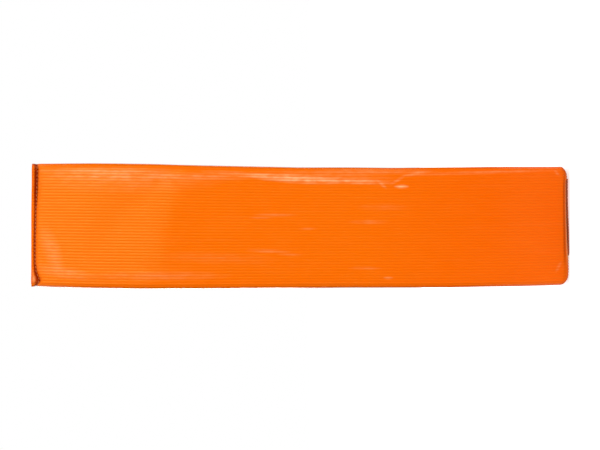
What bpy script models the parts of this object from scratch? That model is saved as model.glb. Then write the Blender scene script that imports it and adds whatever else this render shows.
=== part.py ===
"""Football end zone pylon, standing upright on its base.

A ribbed vinyl sheet is wrapped once round a square foam core and lapped down the back.
A square top panel is sewn into the top with its seam left standing as a fin.
At the base the sheet is slit at its corners into four flaps, folded over one another
and closed with hook and loop tape. A pouch of sand in the foam weights the base.

Metres, +Z up. The origin is the middle of the base, on the ground. The front looks along -Y.
"""

import math
from collections import namedtuple

import bmesh
import bpy
from mathutils import Vector

mm = 0.001
degree = math.pi / 180

# The cover as a whole
pylon_height = 457.2 * mm
pylon_width = 101.6 * mm
pylon_depth = 101.6 * mm
corner_radius = 5.0 * mm
vinyl = 0.8 * mm
gap = 0.3 * mm

# The faces swell over the foam, most of all towards the top
swell = 2.0 * mm
swell_height_share = 0.82
swell_reach_share = 0.44
corner_swell_share = 0.4

# The sewn seam round the top: a groove along the stitches, and the fin above it
fin_height = 3.6 * mm
fin_lip = 0.9 * mm
groove_depth = 1.5 * mm
shoulder_height = 4.5 * mm
panel_crown = 1.2 * mm
panel_crown_share = 0.6

# The lap seam down the back
lap_width = 22.0 * mm
lap_ramp = 4.0 * mm

# The turn of the sheet into the base, and the slit at each corner of the base
fold_radius = 3.0 * mm
fold_angle = 45 * degree
slit_rise = 1.5 * mm
slit_run = 8.5 * mm

# The flaps of the base
flap_end_clearance = 6.0 * mm
flap_corner_radius = 4.0 * mm
closing_flap_margin = 3.2 * mm
closing_flap_tip = 64.0 * mm
closing_flap_skew = 8.0 * mm
front_flap_length = 55.0 * mm
front_flap_tip = 74.0 * mm
side_flap_spacing = 26.0 * mm
side_flap_tip = 16.0 * mm
fullest_round_share = 0.96

# The hook and loop tape
tape_width = 25.0 * mm
tape_margin = 3.0 * mm
tape_corner_radius = 1.5 * mm
hook_tape_length = 54.0 * mm
hook_tape_thickness = 1.1 * mm
loop_tape_length = 58.0 * mm
loop_tape_thickness = 0.9 * mm

# The foam, and the pocket for the weight in its base
pocket_wall = 7.7 * mm
pocket_depth = 90.0 * mm
pocket_radius = 8.0 * mm
plug_thickness = 14.0 * mm
plug_round = 1.5 * mm

# The pouch of sand
pouch_cloth = 0.6 * mm
pouch_bend = 5.0 * mm
pouch_rim = 4.0 * mm
sand_round = 6.0 * mm

# How far a cutter runs past what it cuts, and the least radius left when a plan is drawn in
overrun = 5.0 * mm
least_radius = 0.2 * mm

# How finely the round forms are cut, and where the rings lie up the straight walls
corner_steps = 4
face_steps = 8
fold_steps = 2
round_steps = 3
cover_wall_shares = (0.03, 0.2, 0.36, 0.48, 0.58, 0.67, 0.75, 0.83, 0.9, 0.96, 1.0)
core_wall_shares = (0.3, 0.45, 0.6, 0.72, 0.84, 0.94)
crease_angle = 35 * degree

# Levels of the layers in the base, each lying on the one before it
closing_flap_level = 0.0
hook_tape_level = closing_flap_level + vinyl + gap
loop_tape_level = hook_tape_level + hook_tape_thickness + gap
front_flap_level = loop_tape_level + loop_tape_thickness + gap
side_flap_level = front_flap_level + vinyl + gap
core_level = side_flap_level + vinyl + gap
slit_level = core_level + slit_rise

# Levels at the top, and the lean of the fin where its eased side is steepest
stitch_height = pylon_height - fin_height
shoulder_start = stitch_height - shoulder_height
fin_rise = fin_height - fin_lip
steepest = 3 / 2 * groove_depth / fin_rise
panel_inset = (vinyl + gap) * math.hypot(1, steepest)
panel_bend = 2 * vinyl
panel_level = stitch_height - panel_bend
core_top = panel_level - gap

# The wall of each side ends just over the hinge of its flap
lap_rise = vinyl + gap
fold_inset = fold_radius * (1 - math.cos(fold_angle))
core_round = fold_radius + slit_rise + gap
hinge_inset = fold_inset + vinyl / 2 * (1 + math.cos(fold_angle))
BACK, LEFT, FRONT, RIGHT = range(4)
flap_levels = (closing_flap_level, side_flap_level, front_flap_level, side_flap_level)

Plan = namedtuple("Plan", "half_x half_y radius")
Spot = namedtuple("Spot", "side share angle lift")
cover_plan = Plan(pylon_width / 2, pylon_depth / 2, corner_radius)


def clear_scene():
    for obj in list(bpy.data.objects):
        bpy.data.objects.remove(obj)


def smooth(share):
    """Eases a share from 0 to 1."""
    share = min(max(share, 0), 1)
    return share * share * (3 - 2 * share)


def material(name, colour, roughness, metallic=0.0):
    made = bpy.data.materials.new(name)
    made.use_nodes = True
    made.diffuse_color = (*colour, 1)
    shader = made.node_tree.nodes["Principled BSDF"]
    shader.inputs["Base Color"].default_value = (*colour, 1)
    shader.inputs["Roughness"].default_value = roughness
    shader.inputs["Metallic"].default_value = metallic
    return made


def add_object(name, bm, finish):
    """Turns a bmesh into a named object, shaded smooth with its sharp edges kept."""
    mesh = bpy.data.meshes.new(name)
    bm.to_mesh(mesh)
    bm.free()
    mesh.shade_smooth()
    mesh.set_sharp_from_angle(angle=crease_angle)
    mesh.materials.append(finish)
    obj = bpy.data.objects.new(name, mesh)
    bpy.context.collection.objects.link(obj)
    return obj


def thicken(obj, thickness):
    """Gives a drawn surface its thickness, on the side away from its normals."""
    solidify = obj.modifiers.new("Thickness", "SOLIDIFY")
    solidify.thickness = thickness
    solidify.offset = -1
    solidify.use_even_offset = True
    solidify.use_quality_normals = True


def face_spots(side, first, last, steps, lift=lambda share: 0):
    """Spots along one straight side, the last one left to what follows."""
    shares = [first + (last - first) * step / steps for step in range(steps)]
    return [Spot(side, share, 0, lift(share)) for share in shares]


def corner_spots(side):
    """Spots round the corner that follows a side, going anticlockwise seen from above."""
    return [Spot(side, 1, 90 * degree * step / corner_steps, 0) for step in range(corner_steps)]


def closed_path():
    """Once round a rounded rectangle, from the back's right end."""
    path = []
    for side in (BACK, LEFT, FRONT, RIGHT):
        path += face_spots(side, -1, 1, face_steps) + corner_spots(side)
    return path


def wrapped_path():
    """Once round the cover and over its own start: the sheet's two ends lap on the back."""
    straight = pylon_width / 2 - corner_radius
    lap_share = lap_width / 2 / straight
    ramp_share = lap_ramp / straight
    lifted_share = -lap_share - gap / straight

    def lift(share):
        return smooth((share - lifted_share + ramp_share) / ramp_share)

    path = face_spots(BACK, -lap_share, 1, face_steps) + corner_spots(BACK)
    for side in (LEFT, FRONT, RIGHT):
        path += face_spots(side, -1, 1, face_steps) + corner_spots(side)
    path += face_spots(BACK, -1, lifted_share - ramp_share, round_steps)
    path += face_spots(BACK, lifted_share - ramp_share, lifted_share, round_steps, lift)
    path += face_spots(BACK, lifted_share, lap_share, round_steps, lift)
    path.append(Spot(BACK, lap_share, 0, 1))
    return path


def plan_point(plan, spot, inset):
    """(point, outward direction) of a spot, with the whole plan drawn in by the inset."""
    turn = 90 * degree * (spot.side + 1)
    out = Vector((math.cos(turn), math.sin(turn), 0))
    along = Vector((-math.sin(turn), math.cos(turn), 0))
    halves = (plan.half_y, plan.half_x) if spot.side in (BACK, FRONT) else (plan.half_x, plan.half_y)
    radius = max(plan.radius - inset, least_radius)
    middle = out * (halves[0] - inset - radius) + along * (halves[1] - inset - radius) * spot.share
    direction = out * math.cos(spot.angle) + along * math.sin(spot.angle)
    return middle + direction * radius, direction


def swell_at(spot, z):
    """How far the filled cover stands out at a spot: all of it at a face's middle."""
    reach = swell_reach_share * pylon_height
    off = min(abs(z - swell_height_share * pylon_height) / reach, 1)
    crown = 0 if spot.angle else 1 - spot.share**2
    side_share = 1 - lap_rise / swell if spot.side == BACK else 1
    spread = corner_swell_share + (side_share - corner_swell_share) * crown
    return swell * math.cos(90 * degree * off) ** 2 * spread


def cover_point(spot, z, inset):
    point, direction = plan_point(cover_plan, spot, inset)
    point += direction * (swell_at(spot, z) + lap_rise * spot.lift)
    point.z = z
    return point


def seam_inset(z):
    """How far the stitches draw the cover in, near its top."""
    if z < stitch_height:
        return groove_depth * smooth((z - shoulder_start) / shoulder_height)
    return groove_depth * smooth((stitch_height + fin_rise - z) / fin_rise)


def fin_heights():
    """Heights of the rings over the stitches: up the eased side of the fin, then its upright lip."""
    eased = [stitch_height + fin_rise * step / round_steps for step in range(1, round_steps + 1)]
    return [*eased, pylon_height]


def rim_level(spot):
    """Where the wall ends above the base. It rises into the slit at each corner."""
    levels = [level + vinyl + gap for level in flap_levels]
    if spot.angle:
        return slit_level
    straight = (pylon_width if spot.side in (BACK, FRONT) else pylon_depth) / 2 - corner_radius
    into_slit = smooth(1 - (1 - abs(spot.share)) * straight / slit_run)
    return levels[spot.side] + (slit_level - levels[spot.side]) * into_slit


def fold_ring(path, angle):
    """The wall's edge where it turns into the base, at an angle round that turn."""
    inset = fold_radius * (1 - math.cos(angle))
    rise = fold_radius * (math.sin(fold_angle) - math.sin(angle))
    return [cover_point(spot, rim_level(spot) + rise, inset) for spot in path]


def round_ring(plan, path, level, inset):
    """A level ring of a plain rounded form."""
    ring = []
    for spot in path:
        point, _ = plan_point(plan, spot, inset)
        point.z = level
        ring.append(point)
    return ring


def quarter(steps):
    """Angles of a quarter turn, from 90 degrees down to 0."""
    return [90 * degree * (1 - step / steps) for step in range(steps + 1)]


def loft(rings, closed=True, first_cap=False, last_cap=False):
    """A surface through rings of points that all go anticlockwise, each lying outside or over the last."""
    bm = bmesh.new()
    rows = [[bm.verts.new(point) for point in ring] for ring in rings]
    for low, high in zip(rows, rows[1:]):
        for here in range(len(low) if closed else len(low) - 1):
            there = (here + 1) % len(low)
            bm.faces.new((low[here], low[there], high[there], high[here]))
    if first_cap:
        bm.faces.new(reversed(rows[0]))
    if last_cap:
        bm.faces.new(rows[-1])
    return bm


def make_wrap(finish):
    """The sheet round the four sides, from the turn into the base to the top of the fin."""
    path = wrapped_path()
    rings = [fold_ring(path, fold_angle * (1 - step / fold_steps)) for step in range(fold_steps + 1)]
    low = slit_level + fold_radius
    heights = [low + share * (shoulder_start - low) for share in cover_wall_shares]
    for step in range(1, round_steps + 1):
        heights.append(shoulder_start + shoulder_height * step / round_steps)
    for z in heights + fin_heights():
        rings.append([cover_point(spot, z, seam_inset(z)) for spot in path])
    wrap = add_object("wrap_panel", loft(rings, closed=False), finish)
    thicken(wrap, vinyl)


def make_top_panel(finish):
    """The square panel in the top. Its edges turn up inside the fin, where they are sewn."""
    path = closed_path()
    middle_inset = panel_crown_share * cover_plan.half_x
    rings = [[cover_point(spot, panel_level + panel_crown, middle_inset) for spot in path]]
    for angle in quarter(round_steps):
        z = stitch_height - panel_bend * math.sin(angle)
        inset = groove_depth + panel_inset + panel_bend * (1 - math.cos(angle))
        rings.append([cover_point(spot, z, inset) for spot in path])
    for z in fin_heights():
        rings.append([cover_point(spot, z, seam_inset(z) + panel_inset) for spot in path])
    panel = add_object("top_panel", loft(rings, first_cap=True), finish)
    thicken(panel, vinyl)


def make_flap(name, finish, side, hinge_half, length, tip_from, tip_to):
    """A flap from its hinge to its free end, lying closed. Its origin is on its hinge."""
    outline = (
        (-hinge_half, -vinyl / 2),
        (hinge_half, -vinyl / 2),
        (tip_to, length),
        (tip_from, length),
    )
    bm = bmesh.new()
    sheet = bm.faces.new([bm.verts.new((x, y, -vinyl / 2)) for x, y in outline])
    grown = bmesh.ops.extrude_face_region(bm, geom=[sheet])["geom"]
    lifted = [item for item in grown if isinstance(item, bmesh.types.BMVert)]
    bmesh.ops.translate(bm, verts=lifted, vec=(0, 0, vinyl))
    free_corners = []
    hinge_edges = []
    for edge in bm.edges:
        low, high = sorted(edge.verts, key=lambda vert: vert.co.z)
        if high.co.z - low.co.z > vinyl / 2:
            free_corners += [edge] if low.co.y > 0 else []
        elif max(low.co.y, high.co.y) < 0:
            hinge_edges.append(edge)
    corner = min(flap_corner_radius, fullest_round_share * (tip_to - tip_from) / 2)
    bmesh.ops.bevel(
        bm, geom=free_corners, offset=corner, segments=round_steps,
        profile=0.5, affect="EDGES", material=-1,
    )
    bmesh.ops.bevel(
        bm, geom=hinge_edges, offset=fullest_round_share * vinyl / 2, segments=round_steps,
        profile=0.5, affect="EDGES", material=-1,
    )
    bmesh.ops.recalc_face_normals(bm, faces=bm.faces)
    flap = add_object(name, bm, finish)
    turn = 90 * degree * (side + 1)
    reach = (pylon_depth if side in (BACK, FRONT) else pylon_width) / 2 - hinge_inset
    level = flap_levels[side] + vinyl / 2
    flap.location = (reach * math.cos(turn), reach * math.sin(turn), level)
    flap.rotation_euler.z = turn + 90 * degree
    return flap


def make_flaps(finish):
    """The four flaps, in the order in which they are folded over the foam."""
    hinge_half_x = pylon_width / 2 - flap_end_clearance
    hinge_half_y = pylon_depth / 2 - flap_end_clearance
    side_length = (pylon_width - 2 * hinge_inset - side_flap_spacing) / 2
    for name, side in (("left_flap", LEFT), ("right_flap", RIGHT)):
        tip = side_flap_tip / 2
        make_flap(name, finish, side, hinge_half_y, side_length, -tip, tip)
    tip = front_flap_tip / 2
    front = make_flap("front_flap", finish, FRONT, hinge_half_x, front_flap_length, -tip, tip)
    closing_length = pylon_depth - 2 * hinge_inset - closing_flap_margin
    tip = closing_flap_tip / 2
    closing = make_flap(
        "closing_flap", finish, BACK, hinge_half_x, closing_length,
        -closing_flap_skew - tip, -closing_flap_skew + tip,
    )
    return front, closing


def make_tape(name, finish, length, thickness, level, flap):
    """A strip of tape sewn flat on a flap, near the closing flap's free edge."""
    bm = bmesh.new()
    bmesh.ops.create_cube(bm, size=1)
    bmesh.ops.scale(bm, vec=(length, tape_width, thickness), verts=bm.verts)
    upright = [edge for edge in bm.edges if abs(edge.verts[0].co.z - edge.verts[1].co.z) > thickness / 2]
    bmesh.ops.bevel(
        bm, geom=upright, offset=tape_corner_radius, segments=round_steps,
        profile=0.5, affect="EDGES", material=-1,
    )
    tape = add_object(name, bm, finish)
    free_edge = -pylon_depth / 2 + hinge_inset + closing_flap_margin
    spot = Vector((closing_flap_skew, free_edge + tape_margin + tape_width / 2, level + thickness / 2))
    bpy.context.view_layer.update()
    tape.parent = flap
    tape.matrix_parent_inverse = flap.matrix_world.inverted()
    tape.location = spot
    return tape


def make_rounded_block(name, finish, plan, low, high, edge_round):
    """A block of the given plan with rounded edges all over."""
    path = closed_path()
    rings = []
    for angle in quarter(round_steps):
        inset = edge_round * (1 - math.cos(angle))
        rings.append(round_ring(plan, path, low + edge_round * (1 - math.sin(angle)), inset))
    for angle in reversed(quarter(round_steps)):
        inset = edge_round * (1 - math.cos(angle))
        rings.append(round_ring(plan, path, high - edge_round * (1 - math.sin(angle)), inset))
    return add_object(name, loft(rings, first_cap=True, last_cap=True), finish)


def make_cup(name, finish, plan, low, high, bend):
    """A panel of cloth with its edges turned up all round."""
    path = closed_path()
    rings = []
    for angle in quarter(round_steps):
        inset = bend * (1 - math.cos(angle))
        rings.append(round_ring(plan, path, low + bend * (1 - math.sin(angle)), inset))
    rings.append(round_ring(plan, path, high, 0))
    cup = add_object(name, loft(rings, first_cap=True), finish)
    thicken(cup, pouch_cloth)


def shrunk(plan, by):
    return Plan(plan.half_x - by, plan.half_y - by, max(plan.radius - by, least_radius))


def make_core(finish, pocket):
    """The foam block, rounded at both ends and bulging with the cover, with a pocket in its base."""
    path = closed_path()
    rings = []
    for angle in quarter(round_steps):
        inset = vinyl + gap + core_round * (1 - math.cos(angle))
        z = core_level + core_round * (1 - math.sin(angle))
        rings.append([cover_point(spot, z, inset) for spot in path])
    low = core_level + core_round
    high = core_top - core_round
    for share in core_wall_shares:
        rings.append([cover_point(spot, low + share * (high - low), vinyl + gap) for spot in path])
    for angle in reversed(quarter(round_steps)):
        inset = vinyl + gap + core_round * (1 - math.cos(angle))
        z = core_top - core_round * (1 - math.sin(angle))
        rings.append([cover_point(spot, z, inset) for spot in path])
    core = add_object("foam_core", loft(rings, first_cap=True, last_cap=True), finish)

    cut = loft(
        [
            round_ring(pocket, path, core_level - overrun, 0),
            round_ring(pocket, path, core_level + pocket_depth, 0),
        ],
        first_cap=True, last_cap=True,
    )
    cutter = add_object("pocket_cutter", cut, finish)
    cutter.hide_render = True
    cutter.display_type = "WIRE"
    boolean = core.modifiers.new("Pocket", "BOOLEAN")
    boolean.operation = "DIFFERENCE"
    boolean.solver = "EXACT"
    boolean.object = cutter


def make_weight(foam, cloth, sand, pocket):
    """What fills the pocket: the sand in its two-part pouch, and the plug that keeps it in."""
    filling = shrunk(pocket, gap)
    plug_top = core_level + plug_thickness
    make_rounded_block("foam_plug", foam, filling, core_level, plug_top, plug_round)

    pouch_low = plug_top + gap
    pouch_high = core_level + pocket_depth - gap
    lid_level = pouch_high - pouch_rim
    make_cup("ballast_pouch", cloth, filling, pouch_low, pouch_high, pouch_bend)
    inside = shrunk(filling, pouch_cloth + gap)
    lid_bend = min(pouch_bend, pouch_rim) / 2
    make_cup("pouch_lid", cloth, inside, lid_level, pouch_high, lid_bend)
    make_rounded_block(
        "ballast_sand", sand, inside, pouch_low + pouch_cloth + gap, lid_level - gap, sand_round
    )


def main():
    clear_scene()
    orange = material("orange_vinyl", (0.974, 0.138, 0.001), 0.35)
    hooks = material("black_hook_tape", (0.012, 0.012, 0.013), 0.6)
    loops = material("black_loop_tape", (0.016, 0.016, 0.017), 0.95)
    foam = material("cream_foam", (0.76, 0.66, 0.42), 0.95)
    cloth = material("grey_pouch_cloth", (0.2, 0.21, 0.22), 0.8)
    sand = material("dry_sand", (0.5, 0.36, 0.2), 0.95)

    make_wrap(orange)
    make_top_panel(orange)
    front, closing = make_flaps(orange)
    make_tape("hook_tape", hooks, hook_tape_length, hook_tape_thickness, hook_tape_level, closing)
    make_tape("loop_tape", loops, loop_tape_length, loop_tape_thickness, loop_tape_level, front)
    pocket_inset = vinyl + gap + pocket_wall
    pocket = Plan(cover_plan.half_x - pocket_inset, cover_plan.half_y - pocket_inset, pocket_radius)
    make_core(foam, pocket)
    make_weight(foam, cloth, sand, pocket)


main()
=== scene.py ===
import math

import bmesh
import bpy
import numpy as np
from mathutils import Matrix, Vector, noise


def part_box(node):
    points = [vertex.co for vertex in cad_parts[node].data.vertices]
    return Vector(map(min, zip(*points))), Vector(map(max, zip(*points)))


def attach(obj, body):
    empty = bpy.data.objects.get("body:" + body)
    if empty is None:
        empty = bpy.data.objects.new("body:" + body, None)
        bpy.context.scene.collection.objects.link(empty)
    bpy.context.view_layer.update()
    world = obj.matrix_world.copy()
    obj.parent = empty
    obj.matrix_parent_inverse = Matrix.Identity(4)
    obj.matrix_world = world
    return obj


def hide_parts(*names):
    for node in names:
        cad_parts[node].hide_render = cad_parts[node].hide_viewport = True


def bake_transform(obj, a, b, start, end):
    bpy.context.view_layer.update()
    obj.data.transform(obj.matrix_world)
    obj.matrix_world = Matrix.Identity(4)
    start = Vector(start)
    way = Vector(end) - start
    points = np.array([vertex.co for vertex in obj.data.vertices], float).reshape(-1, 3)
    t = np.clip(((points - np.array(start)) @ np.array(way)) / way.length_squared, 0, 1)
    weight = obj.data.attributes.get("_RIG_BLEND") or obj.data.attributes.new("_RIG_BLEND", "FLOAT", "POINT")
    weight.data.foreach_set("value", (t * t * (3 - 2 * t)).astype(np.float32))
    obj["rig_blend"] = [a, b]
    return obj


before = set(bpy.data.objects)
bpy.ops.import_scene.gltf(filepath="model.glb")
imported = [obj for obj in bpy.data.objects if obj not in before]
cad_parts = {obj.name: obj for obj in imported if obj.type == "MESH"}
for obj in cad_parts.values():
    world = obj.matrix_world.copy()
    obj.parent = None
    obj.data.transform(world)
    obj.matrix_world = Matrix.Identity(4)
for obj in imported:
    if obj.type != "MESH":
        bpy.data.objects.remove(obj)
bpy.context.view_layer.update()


# Camera: square on to the front and level with its middle, as the photograph is taken. It is rolled a quarter
# turn, so that the pylon's top lies to the left, and the lens puts 0.848 mm of the front face in each pixel.
cover_top = 457.2
cover_half = 50.8
photo_width = 600
photo_base_edge = 570
photo_pylon_pixels = 539
camera_reach = 2200
sensor = 36
pixel = cover_top / photo_pylon_pixels
camera_height = (photo_base_edge - photo_width / 2) * pixel
lens = bpy.data.cameras.new("camera")
lens.sensor_width = sensor
lens.lens = sensor * camera_reach / (photo_width * pixel)
lens.clip_start = 0.05
camera = bpy.data.objects.new("camera", lens)
rolled = Matrix(((0, 1, 0), (0, 0, -1), (-1, 0, 0))).to_4x4()
rolled.translation = Vector((0, -camera_reach - cover_half, camera_height)) / 1000
camera.matrix_world = rolled
bpy.context.scene.collection.objects.link(camera)
bpy.context.scene.camera = camera


# Foam block: open-cell polyurethane foam, sawn square from a bun, with a pocket cut up into its base for the
# weight. It shows only round the plug, when the flaps of the base are open.
foam_clearance = 3.3
foam_edge_round = 4.0
foam_cell = 1.1
foam_bow = -1.9
bow_cuts = range(40, 440, 40)
pocket_half = 42.0
pocket_depth = 90.0


def linear(code):
    """An sRGB hex colour in linear light, with its alpha."""
    shares = [int(code[place:place + 2], 16) / 255 for place in (1, 3, 5)]
    light = [share / 12.92 if share <= 0.04045 else ((share + 0.055) / 1.055) ** 2.4 for share in shares]
    return (*light, 1)


def set_inputs(node, inputs):
    """Sets or links a node's inputs. A node given as a value stands for its factor or first live output."""
    for name, value in inputs.items():
        if isinstance(value, bpy.types.Node):
            value = value.outputs.get("Fac") or next(output for output in value.outputs if output.enabled)
        if isinstance(value, bpy.types.NodeSocket):
            node.id_data.links.new(value, node.inputs[name])
        else:
            node.inputs[name].default_value = value


def add_node(tree, kind, inputs, **settings):
    """Adds a shader node with its settings and inputs."""
    node = tree.nodes.new("ShaderNode" + kind)
    for name, value in settings.items():
        setattr(node, name, value)
    set_inputs(node, inputs)
    return node


def start_finish(name):
    """A new material, as its node tree, its main shader and its object coordinates in metres."""
    finish = bpy.data.materials.new(name)
    finish.use_nodes = True
    tree = finish.node_tree
    return finish, tree, tree.nodes["Principled BSDF"], add_node(tree, "TexCoord", {}).outputs["Object"]


def box_of(node):
    """A CAD node's lowest and highest corners at rest."""
    return [corner * 1000 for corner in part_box(node)]


def round_edges(shape, edges, radius, segments):
    """Rounds some edges of a shape."""
    bmesh.ops.bevel(
        shape, geom=edges, offset=radius, segments=segments, profile=0.5, affect="EDGES", material=-1
    )


def start_block(low, high, corner_round=0):
    """A block between two corners, with its upright edges rounded."""
    shape = bmesh.new()
    bmesh.ops.create_cube(shape, size=1)
    bmesh.ops.scale(shape, vec=high - low, verts=shape.verts)
    bmesh.ops.translate(shape, vec=(low + high) / 2, verts=shape.verts)
    if corner_round:
        upright = [edge for edge in shape.edges if abs(edge.verts[0].co.z - edge.verts[1].co.z) > 1]
        round_edges(shape, upright, corner_round, 5)
    return shape


def pick(items, kind):
    """The points, or the edges, among what an operator gives back."""
    return [item for item in items if isinstance(item, kind)]


def keep_mesh(name, shape):
    """Turns a shape into a mesh."""
    mesh = bpy.data.meshes.new(name)
    shape.to_mesh(mesh)
    shape.free()
    return mesh


def fit_piece(name, shape, finishes):
    """Turns a shape in millimetres into a piece in metres, shaded smooth."""
    bmesh.ops.scale(shape, vec=(0.001, 0.001, 0.001), verts=shape.verts)
    mesh = keep_mesh(name, shape)
    mesh.shade_smooth()
    for finish in finishes:
        mesh.materials.append(finish)
    piece = bpy.data.objects.new(name, mesh)
    bpy.context.scene.collection.objects.link(piece)
    return piece


# Foam shows its cut cells as close pits about a millimetre across, in a cream that yellows unevenly. The pits are
# painted shade, darker towards each cell's middle, besides their bump.
foam_finish, tree, shader, place = start_finish("open_cell_foam")
yellowing = add_node(tree, "TexNoise", {"Vector": place, "Scale": 35.0, "Detail": 3.0})
cream = add_node(tree, "Mix", {0: yellowing, 6: linear("#e6d9b4"), 7: linear("#d9c793")}, data_type="RGBA")
cells = add_node(tree, "TexVoronoi", {"Vector": place, "Scale": 1000 / foam_cell})
pit_shade = add_node(
    tree, "MapRange", {"Value": cells, "From Min": 0.1, "From Max": 0.55, "To Min": 0.72, "To Max": 1.0}
)
pit_shaded = add_node(tree, "Mix", {0: 1.0, 6: cream, 7: pit_shade}, data_type="RGBA", blend_type="MULTIPLY")
cell_bump = add_node(tree, "Bump", {"Height": cells, "Strength": 0.5, "Distance": 0.0004})
set_inputs(shader, {"Base Color": pit_shaded, "Normal": cell_bump, "Roughness": 0.95, "Specular IOR Level": 0.1})

foam_low, foam_high = box_of("foam_core")
foam_size = foam_high - foam_low - Vector((2, 2, 1)) * foam_clearance
block_low = Vector((-foam_size.x / 2, -foam_size.y / 2, foam_low.z))
block = start_block(block_low, block_low + foam_size)
underside = min(block.faces, key=lambda face: face.calc_center_median().z)
bmesh.ops.inset_region(block, faces=[underside], thickness=foam_size.y / 2 - pocket_half)
sunk = bmesh.ops.extrude_face_region(block, geom=[underside])["geom"]
bmesh.ops.translate(block, vec=(0, 0, pocket_depth), verts=pick(sunk, bmesh.types.BMVert))
bmesh.ops.delete(block, geom=[underside], context="FACES")
outer_edges = [
    edge for edge in block.edges
    if all(max(abs(vert.co.x), abs(vert.co.y)) > pocket_half + 1 for vert in edge.verts)
    and len(edge.link_faces) == 2 and edge.calc_face_angle() > 1
]
round_edges(block, outer_edges, foam_edge_round, 4)
for level in bow_cuts:
    bmesh.ops.bisect_plane(
        block, geom=block.verts[:] + block.edges[:] + block.faces[:], dist=0.01, plane_co=(0, 0, level),
        plane_no=(0, 0, 1),
    )
for vert in block.verts:
    vert.co.x += foam_bow * math.sin(math.pi * vert.co.z / cover_top)
foam_block = fit_piece("foam_block", block, [foam_finish])
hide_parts("foam_core")
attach(foam_block, "cover")


# Foam plug: a slab of the same foam, pushed up into the pocket to keep the weight there. It is the face seen
# inside the base, its edges a little torn and rounded by the blade.
pocket_corner = 8
plug_edge = 1.6
plug = start_block(*box_of("foam_plug"), pocket_corner)
rims = [edge for edge in plug.edges if edge.calc_face_angle() > 1]
round_edges(plug, rims, plug_edge, 3)
foam_slab = fit_piece("foam_slab", plug, [foam_finish])
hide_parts("foam_plug")
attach(foam_slab, "cover")


# Weight: dry sand in a pouch of grey canvas. The lower panel of cloth is folded up into a tray, and a lid with
# turned-up edges is sewn into it. Neither shows from outside.
canvas_thread = 0.9
canvas_thickness = 0.6
sand_grain = 0.7


def wave_scale(spacing):
    """The scale at which a wave texture repeats at a spacing in millimetres."""
    return math.pi / 10 * 1000 / spacing


# Canvas is a plain weave of thick dull threads, which shade one another.
canvas_finish, tree, shader, place = start_finish("cotton_canvas")
weave = {"Vector": place, "Scale": wave_scale(canvas_thread), "Distortion": 0.4}
warp = add_node(tree, "TexWave", weave, bands_direction="X")
weft = add_node(tree, "TexWave", weave, bands_direction="Y")
threads = add_node(tree, "Math", {0: warp, 1: weft}, operation="MULTIPLY")
canvas_colour = add_node(
    tree, "Mix", {0: threads, 6: linear("#6d6f72"), 7: linear("#84868a")}, data_type="RGBA"
)
canvas_bump = add_node(tree, "Bump", {"Height": threads, "Strength": 0.6, "Distance": 0.0003})
set_inputs(shader, {"Base Color": canvas_colour, "Normal": canvas_bump, "Roughness": 0.85})

# Dry sand is loose grains of uneven tan, without shine.
sand_finish, tree, shader, place = start_finish("dry_sand")
grains = add_node(tree, "TexVoronoi", {"Vector": place, "Scale": 1000 / sand_grain})
sand_colour = add_node(tree, "Mix", {0: grains, 6: linear("#c3a06c"), 7: linear("#9c7b4e")}, data_type="RGBA")
grain_bump = add_node(tree, "Bump", {"Height": grains, "Strength": 0.7, "Distance": 0.0003})
set_inputs(shader, {"Base Color": sand_colour, "Normal": grain_bump, "Roughness": 0.95})
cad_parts["ballast_sand"].data.materials.clear()
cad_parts["ballast_sand"].data.materials.append(sand_finish)

for name, node in (("pouch_tray", "ballast_pouch"), ("pouch_cover", "pouch_lid")):
    low, high = box_of(node)
    tray = start_block(low, high, pocket_corner)
    lid = max(tray.faces, key=lambda face: face.calc_center_median().z)
    bmesh.ops.delete(tray, geom=[lid], context="FACES_ONLY")
    foot = [edge for edge in tray.edges if len(edge.link_faces) == 2 and edge.calc_face_angle() > 1]
    round_edges(tray, foot, (high.z - low.z) / 4, 4)
    cloth_tray = fit_piece(name, tray, [canvas_finish])
    walls = cloth_tray.modifiers.new("Cloth", "SOLIDIFY")
    walls.thickness = canvas_thickness / 1000
    walls.offset = -1
    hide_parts(node)
    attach(cloth_tray, "cover")


# Cover walls: one sheet of vinyl-coated polyester, calendered with fine ribs, wrapped once round the foam with
# its ribs upright and lapped down the back. Its edge at the top stands up as the outer layer of the seam fin.
corner_radius = 5.0
sheet_thickness = 0.8
ribs_per_face = 38
ribs_per_corner = 3
lap_ribs = 10
lap_lift = 1.1
lap_ramp = 4.0
lap_lead = 1.0
cuts_per_rib = 3
rib_depth = 0.38
rib_fullness = 0.9
cut_edge_angle = math.radians(60)
side_fullness = 0.85
stitched_row = 5
tucked_from = 6
fold_radius = 3.2
straight_half = cover_half - corner_radius
rib_pitch = 2 * straight_half / ribs_per_face
flap_half = straight_half - rib_pitch
hem_levels = {"back": 3.2, "front": 6.9, "side": 8.0}
fold_angles = (78, 58, 38, 18)
wall_heights = (
    11, 14, 18, 24, 32, 42, 54, 67, 80, 93, 106, 118, 128, 136, 141, 144, 147, 150, 153, 156, 160, 165, 172,
    182, 194, 206, 218, 230, 242, 254, 266, 278, 290, 302, 313, 323, 332, 339, 345, 351, 359, 370, 382, 394,
    406, 417, 427, 435, 440, 444,
)
seam_height = 453.0

# A point is on a face, and not on a rounded corner, where it looks out this squarely
squarely = 0.999

# Rows of the sheet about the seam: each one's rise over the seam, how far the stitches draw it in, and its dirt
# and painted shade, which darken the groove under the fin
seam_rows = (
    (-3.4, 0.1, 0), (-2.4, 0.35, 0), (-1.6, 0.8, 0.05), (-1.0, 1.5, 0.4), (-0.5, 2.5, 0.85), (-0.1, 3.1, 1),
    (0.3, 3.1, 1), (0.8, 2.4, 0.95), (1.3, 1.5, 0.88), (1.9, 0.85, 0.7), (2.5, 0.4, 0.15), (4.2, 0.1, 0),
)
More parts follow.
